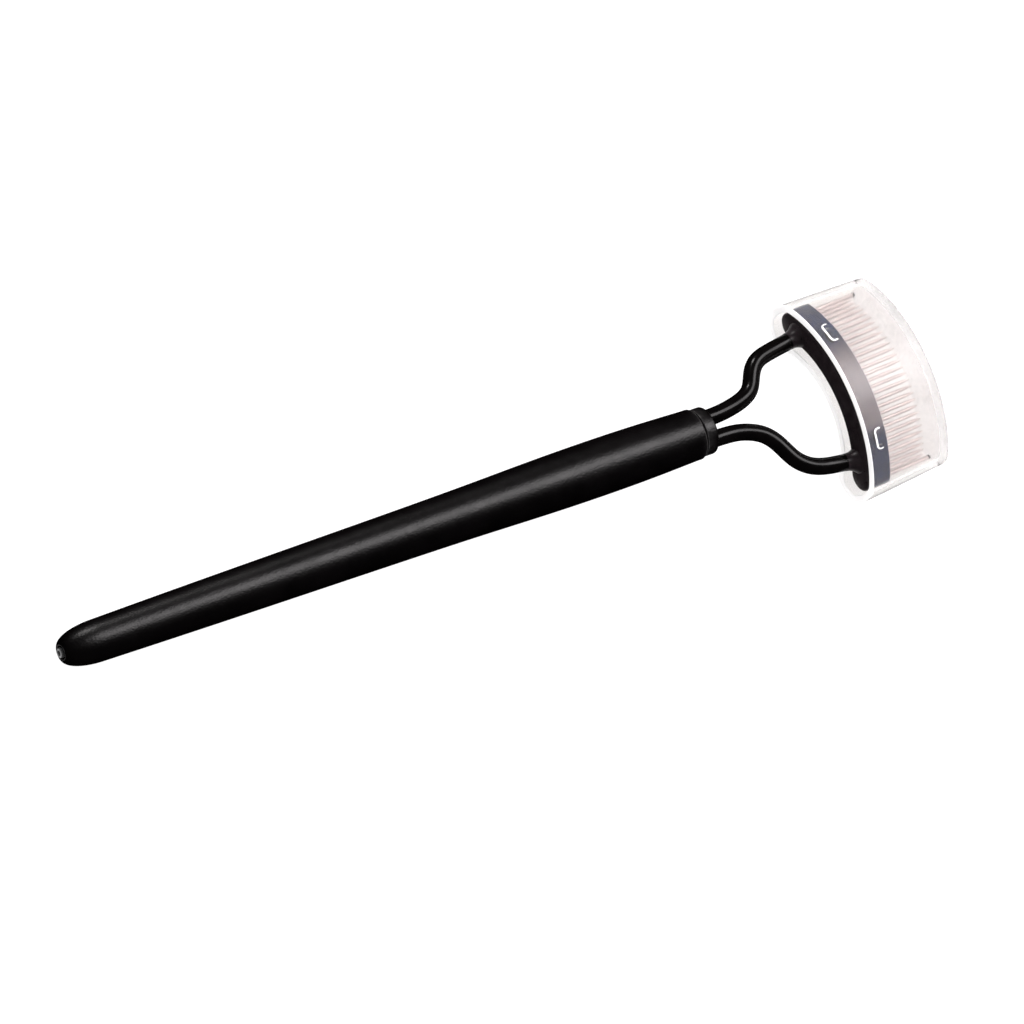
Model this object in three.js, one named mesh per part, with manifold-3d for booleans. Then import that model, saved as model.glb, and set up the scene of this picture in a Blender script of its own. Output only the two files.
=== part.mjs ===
// An arc-shaped eyelash comb with a push-on cover, as a three.js scene graph in millimetres, +Z up.
//
// Two frames are used while building. In the tool frame +X runs from the tail to the head along the
// handle's axis, +Y is sideways and +Z is the convex side of the arc. The head frame lies in it: its
// origin is the middle of the comb bar's rear face, its +X is the way the teeth point. The last group
// tips the tool nose-up, the way it lies on a table on the two ends of its cover and on its tail.
import * as THREE from 'three';
import { mergeVertices } from 'three/addons/utils/BufferGeometryUtils.js';
import Module from 'manifold-3d';

const wasm = await Module();
wasm.setup();

// How the tool lies: its tilt, and where the tool frame's origin is in the finished frame.
const LYING_TILT = THREE.MathUtils.degToRad(-1.55);
const LYING_PLACE = new THREE.Vector3(-68.99, 1.455, 2.773);

// Handle: a turned tube with a swelling near the front and an elliptical dome at the tail.
const HANDLE_LENGTH = 103.2;
const TAIL_HOLE_RADIUS = 1.0;
const DOME_LENGTH = 6.5;
const DOME_START_RADIUS = 1.1;
const DOME_END_RADIUS = 2.95;
const HANDLE_STATIONS = [[6.5, 2.95], [18, 3.07], [52, 3.35], [68, 3.55], [78, 3.77], [87, 3.84],
  [95, 3.74], [HANDLE_LENGTH, 3.48]];
const TAIL_WALL_END = 2.5;
const TUBE_BORE_RADIUS = 2.0;
const FRONT_BORE_START = 88.5;
const FRONT_BORE_RADIUS = 3.0;

// Tail plug: a domed button on a stem, kept in by a flange inside the tube.
const PLUG_RADIUS = 0.78;
const PLUG_PROUD = 0.35;
const PLUG_FACE_RADIUS = 0.43;
const PLUG_SHOULDER = [-0.175, 0.7];
const PLUG_FLANGE_RADIUS = 1.5;
const PLUG_FLANGE_START = 2.8;
const PLUG_END = 3.9;

// Collar: a ring in front of the handle on a spigot inside it, with seats for both wires.
const COLLAR_REAR = 103.55;
const COLLAR_FRONT = 105.25;
const COLLAR_RADIUS = 3.32;
const COLLAR_CHAMFER = 0.25;
const SPIGOT_START = 90;
const SPIGOT_RADIUS = 2.75;
const SEAT_DEPTH = 1.2;
const SEAT_RADIUS = 1.375;

// Fork wires. Each runs from the collar through its bends to a socket in the comb bar.
const WIRE_RADIUS = 1.175;
const WIRE_SPACING = 1.5;
const WIRE_START = 104.35;
const PIN_RADIUS = 0.75;
const PIN_HOLE_RADIUS = 0.97;
const REAR_PIN_START = 93;
const SOCKET_STANDOFF = 1.9;
const FRONT_PIN_DEPTH = 0.8;
const SOCKET_HOLE_DEPTH = 1.1;
const JOIN_LAP = 0.6;

// Head: where it sits on the handle's axis, and its turn about Z.
const HEAD_PLACE = new THREE.Vector3(124.6, -1.45, 0);
const HEAD_YAW = THREE.MathUtils.degToRad(3.0);
const ARC_CENTRE_DROP = 11.96;

// Comb bar: a round-ended arc of stadium section.
const BAR_MID_RADIUS = 14.95;
const BAR_HALF_THICKNESS = 1.95;
const BAR_DEPTH = 3.6;
const BAR_END_ANGLE = THREE.MathUtils.degToRad(49.4);
const SLOT_HALF_WIDTH = 0.5;
const SLOT_FLOOR = 1.4;
const SOCKET_BOSS_RADII = [1.8, 1.35];
const SOCKET_BOSS_REAR = -1.65;
const SOCKET_BOSS_SHOULDER = -0.3;
const SOCKET_BOSS_END = 0.6;
const NUB_SINK = 0.15;
const NUB_HALF_SIZES = [0.5, 1.2, 0.32];

// Teeth: needles at an even pitch along the bar, and a guard post one pitch beyond each end.
const TOOTH_COUNT = 29;
const TOOTH_PITCH = THREE.MathUtils.degToRad(3.6);
const TOOTH_RADIUS = 0.26;
const TOOTH_TIP_RADIUS = 0.08;
const TOOTH_ROOT = 1.7;
const TOOTH_TAPER_START = 7.2;
const TOOTH_TIP = 10.5;
const POST_RADIUS = 0.35;
const POST_TIP_RADIUS = 0.175;
const POST_ROOT = 2.6;
const POST_TAPER_START = 11.2;
const POST_TIP = 11.7;

// Cover: a drafted shell over the comb, open at the rear, with two snap pockets over the bar.
const COVER_REAR = -0.1;
const COVER_FRONT = 13.0;
const COVER_WALL = 1.05;
const CAVITY_TOP_RADIUS = 17.2;
const CAVITY_BOTTOM_RADIUS = 11.7;
const CAVITY_FLOOR = 12.0;
const COVER_END_ANGLE = THREE.MathUtils.degToRad(48.2);
const COVER_DRAFT = 0.05;
const DRAFT_PIVOT_RADIUS = 12;
const SNAP_ANGLES = [26, -26].map(THREE.MathUtils.degToRad);
const SNAP_X = 1.85;
const POCKET_SINK = 0.1;
const POCKET_OUTER_HALF_SIZES = [0.8, 1.55, 0.35];
const POCKET_INNER_HALF_SIZES = [0.65, 1.4, 0.4];

const MATERIALS = {
  satinBlack: new THREE.MeshStandardMaterial({ color: 0x141213, roughness: 0.42, metalness: 0.35 }),
  glossBlack: new THREE.MeshStandardMaterial({ color: 0x060606, roughness: 0.16, metalness: 0.1 }),
  barBlack: new THREE.MeshStandardMaterial({ color: 0x08080a, roughness: 0.22, metalness: 0.0 }),
  plugGrey: new THREE.MeshStandardMaterial({ color: 0x8c8889, roughness: 0.3, metalness: 0.2 }),
  needleSteel: new THREE.MeshStandardMaterial({ color: 0xb9aca9, roughness: 0.28, metalness: 0.9 }),
  frosted: new THREE.MeshStandardMaterial({
    color: 0xf2ecea, roughness: 0.45, metalness: 0, transparent: true, opacity: 0.5,
  }),
};

// ---- helpers -------------------------------------------------------------------------------------

/** A closed geometry as a manifold solid, in its own coordinates. */
function solid(geometry) {
  const bare = geometry.clone();
  bare.deleteAttribute('normal');
  bare.deleteAttribute('uv');
  const merged = mergeVertices(bare, 1e-5);
  return new wasm.Manifold(new wasm.Mesh({
    numProp: 3,
    vertProperties: new Float32Array(merged.attributes.position.array),
    triVerts: new Uint32Array(merged.index.array),
  }));
}

/** A manifold solid as a three.js geometry. */
function geometryOf(body) {
  const mesh = body.getMesh();
  const geometry = new THREE.BufferGeometry();
  geometry.setAttribute('position', new THREE.BufferAttribute(mesh.vertProperties, 3));
  geometry.setIndex(new THREE.BufferAttribute(mesh.triVerts, 1));
  geometry.computeVertexNormals();
  return geometry;
}

/** A body turned about +X from a closed profile of [x, radius] points. */
function turned(profile, segments) {
  const points = profile.map(([x, radius]) => new THREE.Vector2(radius, x));
  return new THREE.LatheGeometry(points, segments).rotateZ(-Math.PI / 2);
}

/** A round pin of a radius along +X from one x to another, its axis moved to y and z. */
function pin(fromX, toX, radius, y = 0, z = 0, segments = 16) {
  const profile = [[fromX, 0], [fromX, radius], [toX, radius], [toX, 0]];
  return turned(profile, segments).translate(0, y, z);
}

/** An outline in the head frame's (y, z) plane, extruded along +X from one x to another. */
function extrudedAlongX(shape, fromX, toX, curveSegments) {
  const settings = { depth: toX - fromX, bevelEnabled: false, curveSegments };
  const yzx = new THREE.Matrix4().makeBasis(
    new THREE.Vector3(0, 1, 0), new THREE.Vector3(0, 0, 1), new THREE.Vector3(1, 0, 0));
  return new THREE.ExtrudeGeometry(shape, settings).applyMatrix4(yzx).translate(fromX, 0, 0);
}

/** A round-ended arc band in the (y, z) plane, symmetric about +Z, centred on the arc's centre. */
function arcBand(midRadius, halfWidth, endAngle) {
  const up = Math.PI / 2;
  const endY = midRadius * Math.sin(endAngle);
  const endZ = midRadius * Math.cos(endAngle);
  const shape = new THREE.Shape();
  shape.absarc(0, 0, midRadius + halfWidth, up - endAngle, up + endAngle, false);
  shape.absarc(-endY, endZ, halfWidth, up + endAngle, up + endAngle + Math.PI, false);
  shape.absarc(0, 0, midRadius - halfWidth, up + endAngle, up - endAngle, true);
  shape.absarc(endY, endZ, halfWidth, up - endAngle - Math.PI, up - endAngle, false);
  return shape;
}

/** A point of the head frame from its x, its radius from the arc's centre and its angle from +Z. */
function onArc(x, radius, angle) {
  return new THREE.Vector3(x, radius * Math.sin(angle), radius * Math.cos(angle) - ARC_CENTRE_DROP);
}

/** An egg-shaped bump lying on the arc: half sizes along X, along the arc and outwards. */
function bump(x, radius, angle, halfSizes) {
  const egg = new THREE.SphereGeometry(1, 12, 8).scale(...halfSizes);
  const place = onArc(x, radius, angle);
  return egg.rotateX(-angle).translate(place.x, place.y, place.z);
}

function mesh(name, geometry, material) {
  const made = new THREE.Mesh(geometry, material.clone());
  made.name = name;
  return made;
}

// ---- handle --------------------------------------------------------------------------------------

function handleBarrel() {
  const dome = [];
  for (let i = 0; i <= 7; i += 1) {
    const turn = (i / 7) * (Math.PI / 2);
    dome.push([DOME_LENGTH * (1 - Math.cos(turn)),
      DOME_START_RADIUS + (DOME_END_RADIUS - DOME_START_RADIUS) * Math.sin(turn)]);
  }
  const stations = HANDLE_STATIONS.map(([x, radius]) => new THREE.Vector2(x, radius));
  const body = new THREE.SplineCurve(stations).getPoints(14).slice(1).map((p) => [p.x, p.y]);
  const bore = [[HANDLE_LENGTH, FRONT_BORE_RADIUS], [FRONT_BORE_START, FRONT_BORE_RADIUS],
    [FRONT_BORE_START, TUBE_BORE_RADIUS], [TAIL_WALL_END, TUBE_BORE_RADIUS],
    [TAIL_WALL_END, TAIL_HOLE_RADIUS], [0, TAIL_HOLE_RADIUS]];
  const profile = [...dome, ...body, ...bore, dome[0]];
  return mesh('handle_barrel', turned(profile, 36), MATERIALS.satinBlack);
}

function tailPlug() {
  const profile = [[-PLUG_PROUD, 0], [-PLUG_PROUD, PLUG_FACE_RADIUS], PLUG_SHOULDER,
    [0, PLUG_RADIUS], [PLUG_FLANGE_START, PLUG_RADIUS], [PLUG_FLANGE_START, PLUG_FLANGE_RADIUS],
    [PLUG_END, PLUG_FLANGE_RADIUS], [PLUG_END, 0]];
  return mesh('tail_plug', turned(profile, 20), MATERIALS.plugGrey);
}

function collar() {
  const profile = [[SPIGOT_START, 0], [SPIGOT_START, SPIGOT_RADIUS], [COLLAR_REAR, SPIGOT_RADIUS],
    [COLLAR_REAR, COLLAR_RADIUS], [COLLAR_FRONT - COLLAR_CHAMFER, COLLAR_RADIUS],
    [COLLAR_FRONT, COLLAR_RADIUS - COLLAR_CHAMFER], [COLLAR_FRONT, 0]];
  const seat = new THREE.Shape();
  seat.absarc(WIRE_SPACING, 0, SEAT_RADIUS, -Math.PI / 2, Math.PI / 2, false);
  seat.absarc(-WIRE_SPACING, 0, SEAT_RADIUS, Math.PI / 2, (Math.PI * 3) / 2, false);
  let body = solid(turned(profile, 36));
  body = body.subtract(solid(extrudedAlongX(seat, COLLAR_FRONT - SEAT_DEPTH, COLLAR_FRONT + 1, 10)));
  for (const side of [1, -1]) {
    const hole = pin(SPIGOT_START - 1, COLLAR_FRONT, PIN_HOLE_RADIUS, side * WIRE_SPACING);
    body = body.subtract(solid(hole));
  }
  return mesh('collar', geometryOf(body), MATERIALS.satinBlack);
}

// ---- fork ----------------------------------------------------------------------------------------

/** Both arms' bends in the tool frame, and where and at what angle each enters the bar's rear face. */
const ARMS = [
  {
    name: 'fork_arm_left',
    side: 1,
    bends: [[107.2, 1.54, 0], [109.7, 1.83, -0.14], [112.1, 2.42, -0.36], [113.7, 3.3, -0.52],
      [114.6, 4.5, -0.61], [115.4, 5.75, -0.68], [116.6, 6.76, -0.79], [118.4, 7.32, -0.96],
      [120.4, 7.65, -1.14]],
    entry: [0, 9.7, -1.2],
    angle: THREE.MathUtils.degToRad(6.5),
  },
  {
    name: 'fork_arm_right',
    side: -1,
    bends: [[107.0, -1.53, 0], [109.1, -1.68, -0.08], [111.3, -2.22, -0.25], [113.2, -3.2, -0.4],
      [114.5, -4.6, -0.5], [115.35, -6.1, -0.56], [116.4, -7.75, -0.65], [118.2, -9.15, -0.78],
      [120.6, -9.87, -0.97]],
    entry: [0, -9.0, -1.0],
    angle: THREE.MathUtils.degToRad(-10),
  },
];

const headMatrix = new THREE.Matrix4().makeRotationZ(HEAD_YAW).setPosition(HEAD_PLACE);

/** The wire's line through the rear face, along x from the entry point, in the head frame. */
function entryPin(arm, fromX, toX, radius, segments = 16) {
  return pin(fromX, toX, radius, 0, 0, segments).rotateZ(arm.angle).translate(...arm.entry);
}

function forkArm(arm) {
  const along = new THREE.Vector3(Math.cos(arm.angle), Math.sin(arm.angle), 0);
  const end = new THREE.Vector3(...arm.entry).addScaledVector(along, -SOCKET_STANDOFF);
  const points = [
    new THREE.Vector3(WIRE_START, arm.side * WIRE_SPACING, 0),
    ...arm.bends.map((bend) => new THREE.Vector3(...bend)),
    end.applyMatrix4(headMatrix),
  ];
  const section = new THREE.Shape().absarc(0, 0, WIRE_RADIUS, 0, Math.PI * 2, false);
  const wire = new THREE.ExtrudeGeometry(section, {
    steps: 36, curveSegments: 6, extrudePath: new THREE.CatmullRomCurve3(points),
  });
  const rearPin = pin(REAR_PIN_START, WIRE_START + JOIN_LAP, PIN_RADIUS, arm.side * WIRE_SPACING);
  const frontPin = entryPin(arm, -SOCKET_STANDOFF - JOIN_LAP, FRONT_PIN_DEPTH, PIN_RADIUS);
  const body = solid(wire).add(solid(rearPin)).add(solid(frontPin.applyMatrix4(headMatrix)));
  return mesh(arm.name, geometryOf(body), MATERIALS.glossBlack);
}

// ---- head ----------------------------------------------------------------------------------------

function combBar() {
  const outline = arcBand(BAR_MID_RADIUS, BAR_HALF_THICKNESS, BAR_END_ANGLE);
  const lastTooth = TOOTH_PITCH * (TOOTH_COUNT - 1) * 0.5;
  const slot = arcBand(BAR_MID_RADIUS, SLOT_HALF_WIDTH, lastTooth);
  const drop = [0, 0, -ARC_CENTRE_DROP];
  let body = solid(extrudedAlongX(outline, 0, BAR_DEPTH, 10).translate(...drop));
  body = body.subtract(solid(extrudedAlongX(slot, SLOT_FLOOR, BAR_DEPTH + 1, 10).translate(...drop)));
  for (const arm of ARMS) {
    const [wide, narrow] = SOCKET_BOSS_RADII;
    const boss = turned([[SOCKET_BOSS_REAR, 0], [SOCKET_BOSS_REAR, narrow],
      [SOCKET_BOSS_SHOULDER, wide], [SOCKET_BOSS_END, wide], [SOCKET_BOSS_END, 0]], 20);
    body = body.add(solid(boss.rotateZ(arm.angle).translate(...arm.entry)));
    const hole = entryPin(arm, -SOCKET_STANDOFF - 1, SOCKET_HOLE_DEPTH, PIN_HOLE_RADIUS);
    body = body.subtract(solid(hole));
  }
  for (const angle of SNAP_ANGLES) {
    const radius = BAR_MID_RADIUS + BAR_HALF_THICKNESS - NUB_SINK;
    body = body.add(solid(bump(SNAP_X, radius, angle, NUB_HALF_SIZES)));
  }
  for (const side of [1, -1]) {
    const foot = onArc(0, BAR_MID_RADIUS, side * (lastTooth + TOOTH_PITCH));
    const post = turned([[POST_ROOT, 0], [POST_ROOT, POST_RADIUS], [POST_TAPER_START, POST_RADIUS],
      [POST_TIP, POST_TIP_RADIUS], [POST_TIP, 0]], 10);
    body = body.add(solid(post.translate(0, foot.y, foot.z)));
  }
  return mesh('comb_bar', geometryOf(body), MATERIALS.barBlack);
}

function tooth(index) {
  const angle = (index - (TOOTH_COUNT - 1) / 2) * TOOTH_PITCH;
  const profile = [[TOOTH_ROOT, 0], [TOOTH_ROOT, TOOTH_RADIUS], [TOOTH_TAPER_START, TOOTH_RADIUS],
    [TOOTH_TIP, TOOTH_TIP_RADIUS], [TOOTH_TIP, 0]];
  const number = String(index + 1).padStart(2, '0');
  const made = mesh(`tooth_${number}`, turned(profile, 8), MATERIALS.needleSteel);
  made.position.copy(onArc(0, BAR_MID_RADIUS, angle));
  return made;
}

/** Narrows a cover outline towards the front, about a pivot inside the arc, for the mould's draft. */
function drafted(geometry) {
  const place = geometry.attributes.position;
  for (let i = 0; i < place.count; i += 1) {
    const share = (place.getX(i) - COVER_REAR) / (COVER_FRONT - COVER_REAR);
    const scale = 1 - COVER_DRAFT * share;
    place.setY(i, place.getY(i) * scale);
    place.setZ(i, DRAFT_PIVOT_RADIUS + (place.getZ(i) - DRAFT_PIVOT_RADIUS) * scale);
  }
  return geometry.translate(0, 0, -ARC_CENTRE_DROP);
}

function cover() {
  const midRadius = (CAVITY_TOP_RADIUS + CAVITY_BOTTOM_RADIUS) / 2;
  const halfCavity = (CAVITY_TOP_RADIUS - CAVITY_BOTTOM_RADIUS) / 2;
  const outer = arcBand(midRadius, halfCavity + COVER_WALL, COVER_END_ANGLE);
  const inner = arcBand(midRadius, halfCavity, COVER_END_ANGLE);
  let body = solid(drafted(extrudedAlongX(outer, COVER_REAR, COVER_FRONT, 10)));
  for (const angle of SNAP_ANGLES) {
    const radius = CAVITY_TOP_RADIUS + COVER_WALL - POCKET_SINK;
    body = body.add(solid(bump(SNAP_X, radius, angle, POCKET_OUTER_HALF_SIZES)));
  }
  body = body.subtract(solid(drafted(extrudedAlongX(inner, COVER_REAR - 1, CAVITY_FLOOR, 10))));
  for (const angle of SNAP_ANGLES) {
    const radius = CAVITY_TOP_RADIUS - POCKET_SINK;
    body = body.subtract(solid(bump(SNAP_X, radius, angle, POCKET_INNER_HALF_SIZES)));
  }
  return mesh('cover', geometryOf(body), MATERIALS.frosted);
}

// ---- assembly ------------------------------------------------------------------------------------

const head = new THREE.Group();
head.position.copy(HEAD_PLACE);
head.rotation.z = HEAD_YAW;
head.add(combBar());
for (let index = 0; index < TOOTH_COUNT; index += 1) {
  head.add(tooth(index));
}
head.add(cover());

const tool = new THREE.Group();
tool.position.copy(LYING_PLACE);
tool.rotation.y = LYING_TILT;
tool.add(handleBarrel(), tailPlug(), collar());
for (const arm of ARMS) {
  tool.add(forkArm(arm));
}
tool.add(head);

const lashComb = new THREE.Group();
lashComb.add(tool);

export default lashComb;
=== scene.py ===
"""An arc-shaped eyelash comb with a push-on frosted cover, in its finished looks.

The tool lies on the table on its tail and on the two ends of its cover. Sizes are in millimetres
in one of two building frames, and are carried into the row frame and turned into metres at the end:

* the tool frame has +X from the tail to the head along the handle, +Y sideways and +Z towards the
  convex side of the comb;
* the head frame has its origin in the middle of the comb bar's rear face and +X the way the
  needles point.
"""

import logging
import math
from dataclasses import dataclass, field
from enum import Enum
from typing import Sequence

import bpy
import numpy as np
from mathutils import Matrix, Vector


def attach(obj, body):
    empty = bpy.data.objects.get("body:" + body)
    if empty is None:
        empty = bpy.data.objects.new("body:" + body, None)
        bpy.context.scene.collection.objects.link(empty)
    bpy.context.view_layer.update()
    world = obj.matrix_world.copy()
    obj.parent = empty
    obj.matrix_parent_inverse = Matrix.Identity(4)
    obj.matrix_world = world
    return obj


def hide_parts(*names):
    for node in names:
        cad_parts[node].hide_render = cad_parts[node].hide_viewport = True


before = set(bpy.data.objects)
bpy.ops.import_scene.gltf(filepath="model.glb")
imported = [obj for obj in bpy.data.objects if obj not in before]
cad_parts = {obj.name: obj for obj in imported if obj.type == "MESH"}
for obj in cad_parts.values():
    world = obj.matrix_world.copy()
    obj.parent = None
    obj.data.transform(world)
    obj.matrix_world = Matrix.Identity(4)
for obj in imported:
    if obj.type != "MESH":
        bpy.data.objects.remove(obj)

MM = 0.001
Colour = tuple[float, float, float]
Array = np.ndarray

log = logging.getLogger("lash_comb")


class Body(Enum):
    """The two moving bodies of the frame."""

    COMB = "comb"
    COVER = "cover"


class Slot(Enum):
    """The finishes that the record names."""

    HANDLE = "handle_satin"
    WIRE = "wire_gloss"
    BAR = "bar_gloss"
    PLUG = "plug"
    NEEDLE = "needle"
    COVER = "cover_frosted"


# ---- surfaces ------------------------------------------------------------------------------------


@dataclass
class Surface:
    """A closed skin: points in millimetres, faces as lists of point numbers, and wear.

    wear_and_painted_light holds, for each point, how much of its finish's worn tone shows there,
    from 0 to 1: real wear on some pieces, and painted highlights and painted shade on others. rim
    marks, face by face, the ones that take a piece's second finish.
    """

    points: Array
    faces: list[list[int]]
    wear_and_painted_light: Array
    rim: Array

    def placed(self, move: "Placement") -> "Surface":
        """The same skin with its points carried by a placement."""
        return Surface(move.carry(self.points), self.faces, self.wear_and_painted_light, self.rim)


def joined(parts: Sequence[Surface]) -> Surface:
    """Several skins as one.

    Args:
        parts: The skins, in any order.

    Returns:
        One skin with the point numbers of each part shifted past those before it.
    """
    shifts = np.cumsum([0] + [len(part.points) for part in parts[:-1]])
    faces = [
        [int(shift) + i for i in face] for part, shift in zip(parts, shifts) for face in part.faces
    ]
    return Surface(
        np.concatenate([part.points for part in parts]),
        faces,
        np.concatenate([part.wear_and_painted_light for part in parts]),
        np.concatenate([part.rim for part in parts]),
    )


def wall_faces(rings: int, around: int, closed: bool) -> Array:
    """Four-sided faces between neighbouring rings of points.

    Args:
        rings: How many rings there are.
        around: How many points each ring has.
        closed: True where the last ring meets the first, as on a tube bent round on itself.

    Returns:
        One row of four point numbers for each face: a point, the next one round its ring, and
        the same two on the next ring.
    """
    ring = np.arange(rings if closed else rings - 1)[:, None] * around
    after = (ring + around) % (rings * around)
    step = np.arange(around)[None, :]
    beside = (step + 1) % around
    return np.stack([ring + step, ring + beside, after + beside, after + step], -1).reshape(-1, 4)


def lofted(rings: Array, closed: bool = False) -> Surface:
    """A skin over rings of points, closed at both ends.

    Args:
        rings: Points as (ring, point on the ring, xyz).
        closed: True to join the last ring to the first. Otherwise each end closes on a pole at
            the middle of its ring.

    Returns:
        The skin, with no wear and no rim marked.
    """
    count, around, _ = rings.shape
    points = rings.reshape(-1, 3)
    faces = wall_faces(count, around, closed).tolist()
    if not closed:
        poles = np.stack([rings[0].mean(0), rings[-1].mean(0)])
        points = np.concatenate([points, poles])
        step = np.arange(around)
        beside = (step + 1) % around
        first, last = count * around, count * around + 1
        edge = (count - 1) * around
        faces += np.stack([beside, step, np.full(around, first)], -1).tolist()
        faces += np.stack([edge + step, edge + beside, np.full(around, last)], -1).tolist()
    return Surface(points, faces, np.zeros(len(points)), np.zeros(len(faces), bool))


def turned(profile: Array, around: int, closed: bool = False) -> Surface:
    """A body turned about X.

    Args:
        profile: Rows of (x, radius). Each becomes a ring: y and z are the radius times the
            cosine and sine of an angle that goes once round.
        around: How many points each ring has.
        closed: True for a profile that is a closed loop, as on a tube.

    Returns:
        The skin.
    """
    angle = np.linspace(0, 2 * np.pi, around, endpoint=False)
    x = np.repeat(profile[:, :1], around, 1)
    rings = np.stack([x, profile[:, 1:] * np.cos(angle), profile[:, 1:] * np.sin(angle)], -1)
    return lofted(rings, closed=closed)


def rounded(corners: Sequence[tuple[float, float, float]], steps: int = 5) -> Array:
    """A profile whose corners are rounded.

    Args:
        corners: (x, radius, rounding) of each corner. The rounding is how far back along both
            sides the curve starts, and 0 keeps the corner.
        steps: How many points each rounding has.

    Returns:
        Rows of (x, radius). A rounded corner becomes a quadratic curve from a point on the side
        before it to one on the side after it, pulled towards the corner.
    """
    points = []
    spots = np.array([corner[:2] for corner in corners], float)
    for i, (_, _, reach) in enumerate(corners):
        if reach == 0 or i in (0, len(corners) - 1):
            points.append(spots[i][None])
            continue
        before, after = spots[i - 1] - spots[i], spots[i + 1] - spots[i]
        start = spots[i] + before / np.linalg.norm(before) * reach
        end = spots[i] + after / np.linalg.norm(after) * reach
        t = np.linspace(0, 1, steps)[:, None]
        points.append((1 - t) ** 2 * start + 2 * t * (1 - t) * spots[i] + t**2 * end)
    return np.concatenate(points)


def smooth_line(knots: Array, samples: int) -> Array:
    """A curve with smoothly changing bend through knots.

    Args:
        knots: (knot, coordinates), in order.
        samples: How many points to return.

    Returns:
        Points at even shares of the line's length measured over its knots. The curve is the
        natural cubic spline: its second derivatives solve one tridiagonal system and are zero
        at both ends.
    """
    gap = np.linalg.norm(np.diff(knots, axis=0), axis=1)
    along = np.concatenate([[0], np.cumsum(gap)])
    n = len(knots)
    system, right = np.eye(n), np.zeros_like(knots, dtype=float)
    inner = np.arange(1, n - 1)
    system[inner, inner - 1] = gap[:-1]
    system[inner, inner] = 2 * (gap[:-1] + gap[1:])
    system[inner, inner + 1] = gap[1:]
    slope = np.diff(knots, axis=0) / gap[:, None]
    right[1:-1] = 6 * np.diff(slope, axis=0)
    bend = np.linalg.solve(system, right)
    s = np.linspace(0, along[-1], samples)
    i = np.clip(np.searchsorted(along, s, side="right") - 1, 0, n - 2)
    a, b, h = (along[i + 1] - s)[:, None], (s - along[i])[:, None], gap[i][:, None]
    curve = bend[i] * a**3 / (6 * h) + bend[i + 1] * b**3 / (6 * h)
    before = (knots[i] / h - bend[i] * h / 6) * a
    after = (knots[i + 1] / h - bend[i + 1] * h / 6) * b
    return curve + before + after


def swept(path: Array, radii: Array, around: int) -> Surface:
    """A round wire along a path that never runs along Z.

    Args:
        path: Points of the wire's middle line.
        radii: Its radius at each of them.
        around: How many points each ring has.

    Returns:
        The skin. Each ring lies across the line's direction, on a sideways vector square to the
        direction and to Z, and on the vector square to both.
    """
    way = np.gradient(path, axis=0)
    way /= np.linalg.norm(way, axis=1, keepdims=True)
    side = np.cross([0.0, 0.0, 1.0], way)
    side /= np.linalg.norm(side, axis=1, keepdims=True)
    up = np.cross(way, side)
    angle = np.linspace(0, 2 * np.pi, around, endpoint=False)[None, :, None]
    across = np.cos(angle) * side[:, None] + np.sin(angle) * up[:, None]
    return lofted(path[:, None] + radii[:, None, None] * across)


@dataclass(frozen=True)
class ArcBand:
    """The round-ended arc outline that the bar, its slot, the needle bed and the cover share.

    Attributes:
        mid_radius: Radius of the line along its middle.
        end_angle: Angle from +Z, in degrees, at which that line ends on each side.
        arc_points: Points along each long side.
        end_points: Points inside each round end.
    """

    mid_radius: float
    end_angle: float
    arc_points: int = 161
    end_points: int = 19

    @property
    def around(self) -> int:
        """How many points the whole outline has."""
        return 2 * (self.arc_points + self.end_points)

    def outline(self, half_width: float) -> Array:
        """The outline at a half width, about the arc's centre.

        Args:
            half_width: From the middle line to either side.

        Returns:
            Rows of (y, z): the outer side, one round end, the inner side backwards and the other
            end. A side is a circle about the arc's centre, and an end a half circle about the
            middle line's end.
        """
        end = math.radians(self.end_angle)
        angle = np.linspace(-end, end, self.arc_points)
        side = np.stack([np.sin(angle), np.cos(angle)], -1)
        turn = np.linspace(0, np.pi, self.end_points + 2)[1:-1, None]
        out = np.array([math.sin(end), math.cos(end)])
        along = np.array([math.cos(end), -math.sin(end)])
        right = self.mid_radius * out + half_width * (np.cos(turn) * out + np.sin(turn) * along)
        left = right[::-1] * [-1, 1]
        outer = (self.mid_radius + half_width) * side
        inner = (self.mid_radius - half_width) * side[::-1]
        return np.concatenate([outer, right, inner, left])

    def cap(self, ring: int) -> list[list[int]]:
        """Faces that close a ring: four-sided ones across the band and one on each round end."""
        n, e, base = self.arc_points, self.end_points, ring * self.around
        j = np.arange(n - 1)
        inner = n + e
        across = np.stack([j, j + 1, inner + n - 2 - j, inner + n - 1 - j], -1) + base
        right = list(range(base + n - 1, base + n + e + 1))
        left = list(range(base + inner + n - 1, base + self.around)) + [base]
        return across.tolist() + [right, left]

    def body(self, profile: Array, drop: float) -> Surface:
        """A closed skin whose rings are this outline.

        Args:
            profile: Rows of (x, half width), from one cap to the other.
            drop: How far the arc's centre lies below the head frame's origin.

        Returns:
            The skin in the head frame.
        """
        flat = np.stack([self.outline(half) for half in profile[:, 1]])
        x = np.repeat(profile[:, 0], self.around).reshape(len(profile), self.around, 1)
        rings = np.concatenate([x, flat], -1) - [0, 0, drop]
        faces = wall_faces(len(profile), self.around, False).tolist()
        first = [face[::-1] for face in self.cap(0)]
        faces += first + self.cap(len(profile) - 1)
        points = rings.reshape(-1, 3)
        return Surface(points, faces, np.zeros(len(points)), np.zeros(len(faces), bool))


# ---- placement -----------------------------------------------------------------------------------


@dataclass(frozen=True)
class Placement:
    """A turn and a shift that carry points from one frame to another, in millimetres."""

    turn: Matrix
    shift: tuple[float, float, float]

    def carry(self, points: Array) -> Array:
        """Points turned, then shifted."""
        return np.asarray(points, float) @ np.array(self.turn.to_3x3()).T + self.shift

    def then(self, other: "Placement") -> "Placement":
        """This placement followed by another."""
        shift = other.carry(np.array([self.shift]))[0]
        return Placement(other.turn @ self.turn, tuple(shift))


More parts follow.
